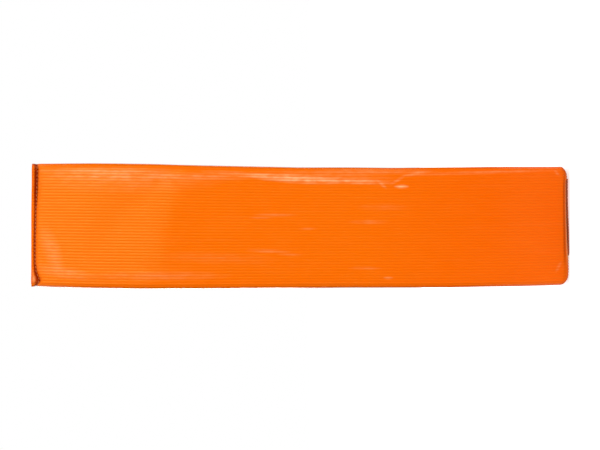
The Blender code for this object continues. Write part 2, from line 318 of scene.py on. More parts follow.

# Along the front the seam is drawn in less about its middle, and the dirt and painted shade of its groove fade
# there
draw_and_shade_places = (-52, -48, -43, -38, -30, 12, 25)
dirt_and_shade_fades = (4, 2.5, 2.5, 2, 4, 4, 1)
draw_shares = (1, 1, 1, 0.8, 0.6, 0.6, 1)

# Small spots on the front: dark ones of painted shade, with packed dirt, by the fin's corners and ear and at the
# corner of the foot, and pale ones of painted highlight, most on the lobe of the fin's ear; across, up, radius and
# strength
dirt_and_shade_spots = (
    (51.8, 455.4, 1.1, 0.8), (-48.3, 453.6, 0.9, 0.9), (-45.6, 457.0, 1.2, 0.5), (46.5, 4.4, 2.0, 0.4),
    (43.0, 3.6, 1.2, 0.5),
)
highlight_spots = (
    (50.0, 453.8, 0.8, 0.5), (-41.0, 456.0, 1.2, 0.5), (-44.5, 454.8, 1.3, 0.6), (-47.5, 455.0, 1.4, 0.45),
)

# The fin flares out by one end of the front, and its top edge wanders a little
ear_flare = 0.8
ear_middle = -46.5
ear_span = 6.0
fin_places = (-52, -40, 10, 35)
fin_drops = (0.0, 0.1, 0.1, 0.5)

# The filled cover, by height: half its width and depth, how far it leans to one side, and how its faces crown
width_heights = (0, 17, 42, 102, 144, 187, 229, 271, 314, 356, 407, 432, 458)
half_widths = (50.2, 50.4, 50.6, 50.8, 50.8, 50.8, 51.0, 51.5, 52.1, 52.9, 52.9, 52.6, 52.2)
half_depths = (50.8, 50.8, 50.9, 51.0, 51.2, 51.4, 51.6, 51.9, 52.2, 52.2, 51.3, 50.5, 49.9)
lean_heights = (0, 17, 42, 102, 144, 229, 314, 400, 457)
leans = (-0.5, -0.9, -1.3, -2.0, -2.3, -2.3, -1.8, -0.8, 0.0)
crown_heights = (0, 12, 80, 240, 370, 430, 458)
crowns = (0, 0.05, 0.15, 0.2, 0.25, 0.15, 0.05)

# The height of the seam at places along the front
seam_places = (-52, -49.5, -46.5, -43.5, -39, -31, -17, 8.5, 30, 45, 52)
seam_heights = (453.2, 451.6, 450.5, 451.2, 453.2, 454.2, 454.2, 453.6, 452.8, 452.4, 452.2)

# How far the fold of the front sags below its level at places along it. It rides up where the tapes draw it in.
fold_places = (-52, -47, -43, -37, -27, -21, -13, 0, 18, 31, 35.5, 38.5, 41, 43, 47, 52)
fold_sags = (1.0, 1.9, 2.8, 3.0, 2.8, 2.4, 2.0, 1.5, 1.0, 0.9, 0.9, 1.1, 1.7, 1.6, 0.8, 0.2)

# Painted shade in the crease above that fold and painted highlight on its bend, at places along it, and by how far
# the sheet has turned round it, in radians
crease_places = (-36, -22, 34, 46)
crease_shade = (0.1, 0.6, 0.6, 0.2)
crease_turn = 0.45
crease_spread = 0.17
fold_highlight_strengths = (0.1, 0.75, 0.75, 0.1)
highlight_turns = (0.7, 1.0)

# Creases of the front, in its width and height: each from a place to a place, then its width and its height
front_creases = (
    (46, 420, 44, 330, 3.0, 0.5), (44, 320, 40, 240, 3.0, 0.9), (40, 240, 36, 170, 3.0, 0.8),
    (38, 165, 31, 143, 2.0, 0.6), (42, 143, 46, 8, 2.5, 0.3), (-10, 395, 25, 360, 14.0, -0.7),
    (30, 330, -30, 345, 12.0, 0.5), (-44, 430, -40, 330, 3.0, 0.5),
)

# The sheet's slack rolls, by height, and the cloth that swells it
slack_height = 0.3
slack_span = 42
slack_heights = (14, 44, 426, 446)
slack_shares = (0, 1, 1, 0)
swell_frames = 20
swell_limit = 0.7
swell_margin = 2
swelling_cloth = {
    "vertex_group_mass": "held", "mass": 0.3, "tension_stiffness": 40, "compression_stiffness": 40,
    "shear_stiffness": 13, "bending_stiffness": 2, "use_pressure": True, "uniform_pressure_force": 4,
}

# The sheet is PVC on a polyester scrim. Pigment runs right through it, so its colour is deep and even, and it has
# a satin shine that scuffs to streaks. The cut edge shows the paler scrim between the two skins.
vinyl_finish, tree, shader, place = start_finish("calendered_vinyl")
fade = add_node(tree, "TexNoise", {"Vector": place, "Scale": 14.0, "Detail": 3.0})
deep_orange = add_node(tree, "Mix", {0: fade, 6: linear("#fc6803"), 7: linear("#f96200")}, data_type="RGBA")
# Painted shade: the foot is painted a deeper orange, and the sheet turns paler and yellower from 40 to 170 mm up
stands = add_node(tree, "SeparateXYZ", {"Vector": place})
foot_shade_ramp = add_node(
    tree, "MapRange", {"Value": stands.outputs["Z"], "From Min": 0.04, "From Max": 0.17, "To Max": 1.0}
)
orange = add_node(tree, "Mix", {0: foot_shade_ramp, 6: deep_orange, 7: linear("#fb7003")}, data_type="RGBA")
# Painted shade darkens the grooves between the ribs. Dirt and painted shade pack the seam and the folds, below.
rib_count = add_node(tree, "Attribute", {}, attribute_name="around")
from_groove = add_node(tree, "Math", {0: rib_count, 1: 0.5}, operation="PINGPONG")
rib_groove_shade = add_node(
    tree, "MapRange", {"Value": from_groove, "From Min": 0.04, "From Max": 0.2, "To Min": 0.22, "To Max": 0.0}
)
lined = add_node(tree, "Mix", {0: rib_groove_shade, 6: orange, 7: linear("#f03800")}, data_type="RGBA")

# Pale marks on the front, part stress marks left by handling and part painted highlights of its satin shine. Each
# is a long soft ellipse: its place across and up the front, its turn in degrees, half its length, half its width,
# and its strength. Fainter pale streaks of painted sheen run up the ribs everywhere.
wear_and_highlight_marks = (
    (42.4, 270, 4.2, 46, 2.6, 0.6), (39.0, 232, 3.5, 42, 4.4, 0.95), (37.2, 186, 2.3, 40, 3.0, 0.7),
    (32.6, 143, 0, 7, 2.2, 1.0), (34.8, 160, 41, 7, 1.9, 0.35), (38.2, 146, -32, 9, 1.8, 0.35),
    (43.7, 129, -11, 14, 2.0, 0.45), (44.5, 75, -1.8, 72, 1.8, 0.3), (8.5, 250, 0, 20, 2.0, 0.2),
    (6.0, 262, 0, 12, 1.4, 0.15), (-3.0, 222, 0, 9, 1.5, 0.15), (-22, 256, 1.5, 21, 2.0, 0.24),
    (-25, 238, 1.5, 12, 1.5, 0.15), (2.5, 170, 0, 20, 2.1, 0.2), (15, 158, 0, 26, 4.0, 0.08),
    (-36.5, 174, 0, 16, 1.7, 0.2), (-45, 154, 0, 5, 1.7, 0.35), (44, 11, 50, 4, 1.6, 0.3),
    (-35.6, 9.8, -63, 6, 1.8, 0.3), (46, 400, 0, 66, 3.2, 0.4), (38, 378, 0, 90, 13, 0.15),
    (-21, 440, 70, 24, 9, 0.3), (-40, 430, 10, 30, 6, 0.3), (-43, 350, 0, 66, 5, 0.2),
    (41.5, 385, 0, 70, 4.5, 0.3), (41, 312, 1.5, 50, 3.4, 0.3), (41.5, 205, 3, 66, 5.0, 0.2),
    (-28, 300, 2, 60, 6, 0.08), (45.5, 170, 0, 64, 3.6, 0.3),
)
mark_plane = -52
mark_depth = 8
streak_size = (2.6, 2.6, 120)
dab_size = (3.2, 3.2, 9)
grain_size = 0.6
streaks = add_node(tree, "Mapping", {"Vector": place, "Scale": [1000 / size for size in streak_size]})
sheen_streaks = add_node(tree, "TexNoise", {"Vector": streaks, "Scale": 1.0, "Detail": 3.0})
wear_and_highlight = add_node(tree, "MapRange", {"Value": sheen_streaks, "From Min": 0.55, "From Max": 0.8, "To Max": 0.02})
for across, up, turn, half_length, half_width, strength in wear_and_highlight_marks:
    mark_inputs = {
        "Vector": place, "Location": Vector((across, mark_plane, up)) / 1000,
        "Rotation": (0, math.radians(turn), 0), "Scale": Vector((half_width, mark_depth, half_length)) / 1000,
    }
    mark_place = add_node(tree, "Mapping", mark_inputs, vector_type="TEXTURE")
    mark = add_node(tree, "TexGradient", {"Vector": mark_place}, gradient_type="SPHERICAL")
    wear_and_highlight = add_node(tree, "Math", {0: mark, 1: strength, 2: wear_and_highlight}, operation="MULTIPLY_ADD")
# The marks are laid on the crests of the ribs in broken dabs, as painted glints, and painted highlight is added
# along the bend of the fold
crest = add_node(
    tree, "MapRange", {"Value": from_groove, "From Min": 0.1, "From Max": 0.4, "To Min": 0.4, "To Max": 1.2}
)
dabs_place = add_node(tree, "Mapping", {"Vector": place, "Scale": [1000 / size for size in dab_size]})
dabs = add_node(tree, "TexNoise", {"Vector": dabs_place, "Scale": 1.0, "Detail": 2.0})
broken_glints = add_node(
    tree, "MapRange", {"Value": dabs, "From Min": 0.35, "From Max": 0.65, "To Min": 0.45, "To Max": 1.2}
)
# The paleness attribute is painted highlight, along the bend of the front's fold and in spots on the fin's ear
highlight_mask = add_node(tree, "Attribute", {}, attribute_name="painted_highlight")
wear_and_highlight = add_node(tree, "Math", {0: wear_and_highlight, 1: crest}, operation="MULTIPLY")
wear_and_highlight = add_node(tree, "Math", {0: wear_and_highlight, 1: broken_glints, 2: highlight_mask}, operation="MULTIPLY_ADD")
scuffed_and_highlit = add_node(tree, "Mix", {0: wear_and_highlight, 6: lined, 7: linear("#ffb97e")}, data_type="RGBA")
# The dirt attribute darkens the sheet to a dark red: dirt and painted shade in the seam's groove and the fin's
# corners, painted shade in the crease above the front's fold and on the closing flap's curled free edge, and dirt
# on the turned folds of the side flaps
dirt_and_shade_mask = add_node(tree, "Attribute", {}, attribute_name="dirt_and_shade")
dirt_and_shade_mixed = add_node(tree, "Mix", {0: dirt_and_shade_mask, 6: scuffed_and_highlit, 7: linear("#8f1a00")}, data_type="RGBA")
scuffs = add_node(tree, "TexNoise", {"Vector": place, "Scale": 60.0, "Detail": 5.0, "Roughness": 0.6})
shine = add_node(
    tree, "MapRange", {"Value": scuffs, "From Min": 0.3, "From Max": 0.7, "To Min": 0.13, "To Max": 0.24}
)
grain = add_node(tree, "TexNoise", {"Vector": place, "Scale": 1000 / grain_size, "Detail": 2.0})
grain_bump = add_node(tree, "Bump", {"Height": grain, "Strength": 0.08, "Distance": 0.0002})
set_inputs(shader, {"Base Color": dirt_and_shade_mixed, "Roughness": shine, "Normal": grain_bump})
set_inputs(shader, {"IOR": 1.5, "Specular Tint": (1.0, 0.72, 0.15, 1)})

# A cut edge shows the scrim, whose polyester threads are paler and dull.
fray_size = 1.4
cut_vinyl_finish, tree, shader, place = start_finish("cut_vinyl_edge")
frays = add_node(tree, "TexNoise", {"Vector": place, "Scale": 1000 / fray_size, "Detail": 2.0})
edge_colour = add_node(tree, "Mix", {0: frays, 6: linear("#e8611f"), 7: linear("#f7935a")}, data_type="RGBA")
# The cut edge darkens with the same attribute, to a brown that is painted shade on the closing flap's curled edge
# and dirt with painted shade in the seam
dirt_and_shade_mask = add_node(tree, "Attribute", {}, attribute_name="dirt_and_shade")
edge_dirt_and_shade = add_node(
    tree, "Mix", {0: dirt_and_shade_mask, 6: edge_colour, 7: linear("#8a3000")}, data_type="RGBA"
)
set_inputs(shader, {"Base Color": edge_dirt_and_shade, "Roughness": 0.6})

# The back of the sheet is dull, and the scrim's square mesh of threads presses through its thin skin.
scrim_spacing = 2.6
vinyl_back_finish, tree, shader, place = start_finish("vinyl_back_with_scrim")
scrim_waves = {"Vector": place, "Scale": wave_scale(scrim_spacing), "Distortion": 0.3}
scrim_height = None
for direction in ("X", "Y", "Z"):
    threads = add_node(tree, "TexWave", scrim_waves, bands_direction=direction)
    crest = add_node(tree, "Math", {0: threads, 1: 6.0}, operation="POWER")
    if scrim_height is not None:
        crest = add_node(tree, "Math", {0: crest, 1: scrim_height}, operation="MAXIMUM")
    scrim_height = crest
back_colour = add_node(
    tree, "Mix", {0: scrim_height, 6: linear("#e9620f"), 7: linear("#f58a48")}, data_type="RGBA"
)
scrim_bump = add_node(tree, "Bump", {"Height": scrim_height, "Strength": 0.5, "Distance": 0.0003})
set_inputs(shader, {"Base Color": back_colour, "Normal": scrim_bump, "Roughness": 0.55})


def start_sheet():
    """An empty sheet, whose points count its ribs and carry its dirt and painted shade, and its painted highlight.
    """
    sheet = bmesh.new()
    for name in ("around", "dirt_and_shade", "painted_highlight"):
        sheet.verts.layers.float.new(name)
    return sheet, sheet.verts.layers.float["around"]


def walk(shape, vert, step, count):
    """Extends a line of points by straight steps, and gives its last point."""
    for _ in range(count):
        vert = bmesh.ops.extrude_vert_indiv(shape, verts=[vert])["verts"][0]
        bmesh.ops.translate(shape, vec=step, verts=[vert])
    return vert


def way_along(side):
    """The way along a side of the cover, counted in quarter turns from the back."""
    turn = math.radians(90 * side)
    return Vector((-math.cos(turn), -math.sin(turn), 0))


def turn_corner(shape, vert, side):
    """Extends a line of points round the corner at the end of a side, and gives its last point."""
    centre = (way_along(side) - way_along(side + 1)) * straight_half
    spun = bmesh.ops.spin(
        shape, geom=[vert], cent=centre, axis=(0, 0, 1), angle=math.pi / 2, steps=2 * ribs_per_corner
    )
    return pick(spun["geom_last"], bmesh.types.BMVert)[0]


def add_rows(shape, steps):
    """Draws a sheet out from all of its edges, by one row of faces for each step."""
    edges = shape.edges[:]
    for step in steps:
        raised = bmesh.ops.extrude_edge_only(shape, edges=edges)["geom"]
        edges = pick(raised, bmesh.types.BMEdge)
        bmesh.ops.translate(shape, vec=step, verts=pick(raised, bmesh.types.BMVert))


def cut_ribs(shape, edges):
    """Cuts the edges that cross ribs, so that each rib can be round."""
    bmesh.ops.subdivide_edges(shape, edges=edges, cuts=cuts_per_rib, use_grid_fill=True)


def ease(share):
    """A share from 0 to 1 that starts and ends gently."""
    return share * share * (3 - 2 * share)


def outward(x, y):
    """The way that the cover's nominal outline faces at each point, and the point's distance from its core."""
    out_x = x - np.clip(x, -straight_half, straight_half)
    out_y = y - np.clip(y, -straight_half, straight_half)
    reach = np.hypot(out_x, out_y)
    return out_x / reach, out_y / reach, reach


def on_face(face_x, face_y):
    """Which points are on a face of the cover, and not on its rounded corners."""
    return np.maximum(np.abs(face_x), np.abs(face_y)) > squarely


def fill_cover(x, y, z, inset):
    """Moves points of the nominal outline to where the filled cover has them at their height, less an inset."""
    face_x, face_y, reach = outward(x, y)
    core_x = np.clip(x, -straight_half, straight_half)
    core_y = np.clip(y, -straight_half, straight_half)
    wide = np.interp(z, width_heights, half_widths) - cover_half
    deep = np.interp(z, width_heights, half_depths) - cover_half
    across = np.where(np.abs(face_x) > np.abs(face_y), core_y, core_x) / straight_half
    crown = np.interp(z, crown_heights, crowns) * (1 - across**2) * on_face(face_x, face_y)
    out = reach - inset + crown
    x_moved = core_x * (1 + wide / straight_half) + face_x * out
    y_moved = core_y * (1 + deep / straight_half) + face_y * out
    return x_moved + np.interp(z, lean_heights, leans), y_moved


def press(x, z, marks):
    """How far a face stands out at points on it, from creases that each run straight from point to point."""
    raised = np.zeros_like(x)
    for x_from, z_from, x_to, z_to, width, height in marks:
        run = math.hypot(x_to - x_from, z_to - z_from)
        ahead = ((x - x_from) * (x_to - x_from) + (z - z_from) * (z_to - z_from)) / run**2
        aside = np.abs((x - x_from) * (z_to - z_from) - (z - z_from) * (x_to - x_from)) / run
        past = np.maximum(np.maximum(-ahead, ahead - 1), 0) * run
        raised += height * np.exp(-((aside / width) ** 2) - (past / (2 * width)) ** 2)
    return raised


def read_points(mesh):
    """The points of a mesh in millimetres, a row to each."""
    values = np.empty(len(mesh.vertices) * 3, np.float32)
    mesh.attributes["position"].data.foreach_get("vector", values)
    return values.reshape(-1, 3).astype(float) * 1000


def write_points(mesh, points):
    """Puts the points of a mesh in their new places, given in millimetres."""
    mesh.attributes["position"].data.foreach_set("vector", (points / 1000).astype(np.float32).ravel())
    mesh.update()


def write_dirt_shade_and_highlight(mesh, dirt_and_shade, painted_highlight):
    """Gives the points of a sheet their dirt and painted shade, and their painted highlight."""
    mesh.attributes["dirt_and_shade"].data.foreach_set("value", dirt_and_shade.astype(np.float32))
    mesh.attributes["painted_highlight"].data.foreach_set("value", painted_highlight.astype(np.float32))


def seam_level(x, face_x, face_y):
    """The height of the seam at points of the outline. On the front it wanders, and dips by the -X corner."""
    front = np.interp(x, seam_places, seam_heights)
    return np.where(face_y < 0, seam_height * face_x**2 + front * face_y**2, seam_height)


def draw_share(x, face_x):
    """How much of the seam's draw is taken in at points of the outline. The sides are fuller than the front."""
    return (1 - side_fullness * np.abs(face_x)) * np.interp(x, draw_and_shade_places, draw_shares)


def fold_sag(x):
    """How far the fold of the front, and the corners beside it, sag below their level at places along it."""
    return np.interp(x, fold_places, fold_sags)


def fold_shade_and_highlight(x, turned):
    """The painted shade and painted highlight of the front's fold: painted shade darkens the crease above it, and
    a painted highlight lies along its bend.
    """
    dirt_and_painted_shade = np.interp(x, crease_places, crease_shade) * np.exp(-(((turned - crease_turn) / crease_spread) ** 2))
    return dirt_and_painted_shade, np.interp(x, crease_places, fold_highlight_strengths) * np.interp(turned, highlight_turns, (0, 1))


def finish_sheet(piece, up=0):
    """Raises a sheet's ribs, and gives it its finishes and its thickness. Where its count of ribs is a whole
    number, it has a groove. Up tells which way the outer side of a level sheet looks. Upright walls have none, and
    are cut across their ribs here."""
    sheet = bmesh.new()
    sheet.from_mesh(piece.data)
    around = sheet.verts.layers.float["around"]
    if up:
        bmesh.ops.recalc_face_normals(sheet, faces=sheet.faces)
        if up * sum(face.normal.z * face.calc_area() for face in sheet.faces) < 0:
            bmesh.ops.reverse_faces(sheet, faces=sheet.faces)
    else:
        cut_ribs(sheet, [edge for edge in sheet.edges if edge.verts[0][around] != edge.verts[1][around]])
    sheet.normal_update()
    for vert in sheet.verts:
        vert.co += vert.normal * rib_depth / 1000 * (abs(math.sin(math.pi * vert[around])) ** rib_fullness - 1)
    sheet.to_mesh(piece.data)
    sheet.free()
    piece.data.shade_smooth()
    for finish in (vinyl_finish, cut_vinyl_finish, vinyl_back_finish):
        piece.data.materials.append(finish)
    backing = piece.modifiers.new("Backing", "SOLIDIFY")
    backing.thickness = sheet_thickness / 1000
    backing.offset = -1
    backing.material_offset_rim = 1
    backing.material_offset = 2
    solid = bpy.data.meshes.new_from_object(piece.evaluated_get(bpy.context.evaluated_depsgraph_get()))
    solid.set_sharp_from_angle(angle=cut_edge_angle)
    piece.modifiers.clear()
    piece.data = solid


# The outline runs from one end of the sheet to the other, where it ramps up over the first end as the lap
sheet, around = start_sheet()
lap_start = sheet.verts.new((lap_ribs * rib_pitch / 2, cover_half, 0))
back_run = round((straight_half + lap_start.co.x) / rib_pitch)
tip = walk(sheet, lap_start, (-rib_pitch, 0, 0), back_run)
for corner in range(4):
    tip = turn_corner(sheet, tip, corner)
    tip = walk(sheet, tip, way_along(corner + 1) * rib_pitch, ribs_per_face if corner < 3 else back_run)
outline = list(sheet.verts)
for here, there in zip(outline, outline[1:]):
    there[around] = here[around] + (1 if (there.co - here.co).length > rib_pitch * 0.9 else 0.5)
for vert in outline[-back_run:]:
    share = min(max((lap_start.co.x + lap_lead + lap_ramp - vert.co.x) / lap_ramp, 0), 1)
    vert.co.y += lap_lift * ease(share)

# The rows are a millimetre apart until they are set, so a point's height is the number of its row
first_wall = len(fold_angles) + 1
first_seam = first_wall + len(wall_heights)
add_rows(sheet, [(0, 0, 1)] * (first_seam + len(seam_rows) - 1))
tucks = [
    face for face in sheet.faces
    if face.calc_center_median().z < len(fold_angles)
    and min(abs(face.calc_center_median().x), abs(face.calc_center_median().y)) < flap_half
]
bmesh.ops.delete(sheet, geom=tucks, context="FACES")
sheet.normal_update()
front_face = next(
    face for face in sheet.faces if face.calc_center_median().y < 0 and abs(face.normal.y) > 0.9
)
if front_face.normal.y > 0:
    bmesh.ops.reverse_faces(sheet, faces=sheet.faces)
cover_walls = fit_piece("cover_walls", sheet, [])

# The sheet is set over the foam: folded under at its hem, filled out, drawn in at the seam and creased
points = read_points(cover_walls.data)
x, y, row_of = points.T.copy()
row_of = row_of.round().astype(int)
face_x, face_y, _ = outward(x, y)
facing = np.column_stack((face_x, face_y))
hem = np.where(face_y > 0, hem_levels["back"], hem_levels["front"]) * face_y**2 + hem_levels["side"] * face_x**2
seam = seam_level(x, face_x, face_y)
fin_top = cover_top - np.interp(x, fin_places, fin_drops)
height, inset, wall_dirt_and_shade = np.zeros((3, len(points)))
turned = row_of < len(fold_angles)
angle = np.radians(np.append(fold_angles, 0)[np.minimum(row_of, len(fold_angles))])
front_fold = y < -straight_half
hem_rows = row_of <= len(fold_angles)
height[hem_rows] = (hem - (fold_radius + fold_sag(x) * front_fold) * np.sin(angle))[hem_rows]
inset[turned] = (fold_radius * (1 - np.cos(angle)))[turned]
for number, level in enumerate(wall_heights, first_wall):
    height[row_of == number] = level
for number, (rise, drawn, dirt_and_painted_shade) in enumerate(seam_rows, first_seam):
    in_row = row_of == number
    lift = rise if rise <= 0 else rise / seam_rows[-1][0] * (fin_top - seam)
    height[in_row] = (seam + lift)[in_row]
    inset[in_row] = (drawn * draw_share(x, face_x))[in_row]
    wall_dirt_and_shade[in_row] = dirt_and_painted_shade ** np.interp(x, draw_and_shade_places, dirt_and_shade_fades)[in_row]
flare = np.exp(-(((x - ear_middle) / ear_span) ** 2)) * np.clip((height - seam) / (fin_top - seam), 0, 1)
inset -= ear_flare * flare * front_fold
points[:, 0], points[:, 1] = fill_cover(x, y, height, inset)
points[:, 2] = height
front = face_y < -squarely
points[:, 1] -= np.where(front, press(points[:, 0], height, front_creases), 0)

# The sheet is a little slack over the foam, so its faces roll gently in and out between hem and seam
slack = np.array([noise.noise(Vector(point) / slack_span) for point in points])
slack *= slack_height * np.interp(height, slack_heights, slack_shares)
points[:, :2] += facing * slack[:, None]
write_points(cover_walls.data, points)

# The foam pushes the sheet out between its corners, hem, seam and lap, where it is held. A short cloth simulation
# gives the form of that swelling, and the sheet's tightness limits it
lap_half = lap_ribs * rib_pitch / 2 + lap_ramp + swell_margin
held = (row_of < first_wall + swell_margin) | (row_of >= first_seam - 1)
held |= ~on_face(face_x, face_y)
held |= (face_y > squarely) & (np.abs(points[:, 0]) < lap_half)
cover_walls.vertex_groups.new(name="held").add(np.flatnonzero(held).tolist(), 1.0, "REPLACE")
swelling = cover_walls.modifiers.new("Swelling", "CLOTH")
for name, value in swelling_cloth.items():
    setattr(swelling.settings, name, value)
swelling.settings.effector_weights.gravity = 0
swelling.point_cache.frame_start = 1
swelling.point_cache.frame_end = swell_frames
for moment in range(1, swell_frames + 1):
    bpy.context.scene.frame_set(moment)
swollen = cover_walls.evaluated_get(bpy.context.evaluated_depsgraph_get())
moved = (read_points(swollen.data) - points)[:, :2]
swell = swell_limit * np.tanh((moved * facing).sum(axis=1) / swell_limit)
points[:, :2] += facing * swell[:, None]
cover_walls.modifiers.clear()
cover_walls.vertex_groups.clear()
bpy.context.scene.frame_set(1)
write_points(cover_walls.data, points)

# The front's fold gets painted shade in its crease and painted highlight on its bend, and the spots add painted
# shade and painted highlight
dirt_and_painted_shade, highlight_share = fold_shade_and_highlight(points[:, 0], angle)
wall_dirt_and_shade[turned & front_fold] = dirt_and_painted_shade[turned & front_fold]
painted_highlights = highlight_share * turned * front_fold
for spots, values in ((dirt_and_shade_spots, wall_dirt_and_shade), (highlight_spots, painted_highlights)):
    for across, up, radius, strength in spots:
        away = np.hypot(points[:, 0] - across, points[:, 2] - up) / radius
        values[:] = np.maximum(values, strength * np.exp(-(away**2)) * (face_y < -0.1))
write_dirt_shade_and_highlight(cover_walls.data, wall_dirt_and_shade, painted_highlights)
seam_run = points[row_of == first_seam + stitched_row]
finish_sheet(cover_walls)
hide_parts("wrap_panel")
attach(cover_walls, "cover")


# Top square: a panel of the same ribbed sheet, let into the top. Its edge turns up inside the walls' edge, and
# the two are sewn together just under the fin that they make.
panel_level = 452.2
panel_crown = 1.3
panel_dip_span = 14
panel_edge_drop = 0.5
last_ring_out = 0.1
tucked_gap = 0.05
ring_rows = len(seam_rows) - tucked_from

panel, around = start_sheet()
first = panel.verts.new((straight_half, cover_half, 0))
tip = first
for corner in range(4):
    tip = walk(panel, tip, way_along(corner) * rib_pitch, ribs_per_face)
    tip = turn_corner(panel, tip, corner)
bmesh.ops.remove_doubles(panel, verts=[first, tip], dist=0.01)
add_rows(panel, [(0, 0, 1)] * (ring_rows + 1))
for vert in panel.verts:
    if vert.co.z > ring_rows + 0.5:
        vert.co.x = min(max(vert.co.x, -straight_half), straight_half)
        vert.co.y = min(max(vert.co.y, -straight_half), straight_half)
bmesh.ops.create_grid(
    panel, x_segments=ribs_per_face, y_segments=ribs_per_face, size=straight_half,
    matrix=Matrix.Translation((0, 0, ring_rows + 1)),
)
bmesh.ops.remove_doubles(panel, verts=panel.verts, dist=0.01)
bmesh.ops.dissolve_degenerate(panel, edges=panel.edges, dist=0.01)
crossing = []
for edge in panel.edges:
    span = edge.verts[0].co - edge.verts[1].co
    if abs(span.x) < 0.01 and abs(span.z) < 0.5 and abs(span.y) > rib_pitch * 0.9:
        crossing.append(edge)
cut_ribs(panel, crossing)
for vert in panel.verts:
    vert[around] = (vert.co.y + straight_half) / rib_pitch
top_square = fit_piece("top_square", panel, [])

points = read_points(top_square.data)
x, y, row_of = points.T.copy()
row_of = row_of.round().astype(int)
sunk = row_of > ring_rows
ring = ~sunk
rises, draws, _ = np.array(seam_rows).T
from_top = len(seam_rows) - 1 - np.minimum(row_of, ring_rows - 1)
face_x, face_y = np.zeros((2, len(points)))
face_x[ring], face_y[ring], _ = outward(x[ring], y[ring])
near_front = np.exp(-(((y + straight_half) / panel_dip_span) ** 2))
seam = seam_height + (np.interp(x, seam_places, seam_heights) - seam_height) * near_front
seam[ring] = seam_level(x[ring], face_x[ring], face_y[ring])
fin_top = cover_top - panel_edge_drop - np.interp(x, fin_places, fin_drops)


def wall_row(number):
    """The rise over the seam and the inset of a row of the walls, at each point of the panel's ring."""
    rise = rises[number] * np.where(rises[number] <= 0, 1, (fin_top - seam) / rises[-1])
    return rise, draws[number] * draw_share(x, face_x)


# The panel's edge lies inside the walls' edge, back to back, so its profile runs a fixed way off theirs
rise_below, inset_below = wall_row(from_top - 1)
rise_above, inset_above = wall_row(np.minimum(from_top + 1, len(rises) - 1))
profile_length = np.hypot(rise_above - rise_below, inset_above - inset_below)
tucked_in = 2 * sheet_thickness + tucked_gap
lift, inset = wall_row(from_top)
lift += tucked_in * (inset_below - inset_above) / profile_length
inset += tucked_in * (rise_above - rise_below) / profile_length
inset[row_of == ring_rows] = corner_radius - last_ring_out
lift[row_of == ring_rows] = panel_level - seam_height
dome = panel_crown * (1 - (x / straight_half) ** 2) * (1 - (y / straight_half) ** 2)
height = seam + np.where(sunk, panel_level - seam_height + dome, lift)
points[ring, 0], points[ring, 1] = fill_cover(x[ring], y[ring], height[ring], inset[ring])
points[:, 2] = height
write_points(top_square.data, points)
finish_sheet(top_square, up=1)
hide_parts("top_panel")
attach(top_square, "cover")


# Flaps of the base: each wall's sheet runs on past the fold at the base and lies under the foam. The two side
# flaps go in first, then the front one, and the one from the back closes the base over them.
flap_row = 2.4
fold_rows = 12
folded = fold_radius * math.pi / 2
taper_start = 5.8
blend_start = 50.4
blend_end = 48.1

# Each flap: its side in quarter turns from the back, its level, how far out from the middle its free edge is, and
# the two ends of that edge
flaps = {
    "closing_flap": (0, 0.0, -49.6, (-40, 24)),
    "left_flap": (1, 4.8, 13.0, (-8, 8)),
    "front_flap": (2, 3.7, -5.76, (-37, 37)),
    "right_flap": (3, 4.8, 13.0, (-8, 8)),
}
_, closing_level, closing_edge, _ = flaps["closing_flap"]
front_level = flaps["front_flap"][1]

# The closing flap's free edge stands away from the base: how high, and from where, at places along it
lift_places = (-60, -25, -20, -8, 4, 20, 34, 39, 60)
lift_heights = (0.35, 0.35, 0.5, 0.8, 1.3, 1.9, 2.0, 1.7, 1.7)
lift_starts = (46, 45.5, 45, 43, 36, 26, 25, 26, 26)
lift_bend = 2.2

# The front flap's sag grows from one of these places to the other, out from the middle
sag_places = (40, 46)

# Dirt of a flap by its turn round the fold, in radians, and painted shade of the closing one by its place near its
# free edge, which curls up off the floor
flap_dirt = ((0.9, 1.5), (0, 0.5))
closing_edge_shade = ((38, 46), (0, 0.8))


def flap_drop(name, across, out):
    """How far points of a flap lie below its level, at a place along the fold and one out from the middle."""
    if name == "closing_flap":
        start = np.interp(-across, lift_places, lift_starts)
        share = np.maximum(-out - start, 0) / (-closing_edge - start)
        return -np.interp(-across, lift_places, lift_heights) * share**lift_bend
    if name == "front_flap":
        return fold_sag(across) * ease(np.interp(out, sag_places, (0, 1)))
    return np.zeros_like(across)


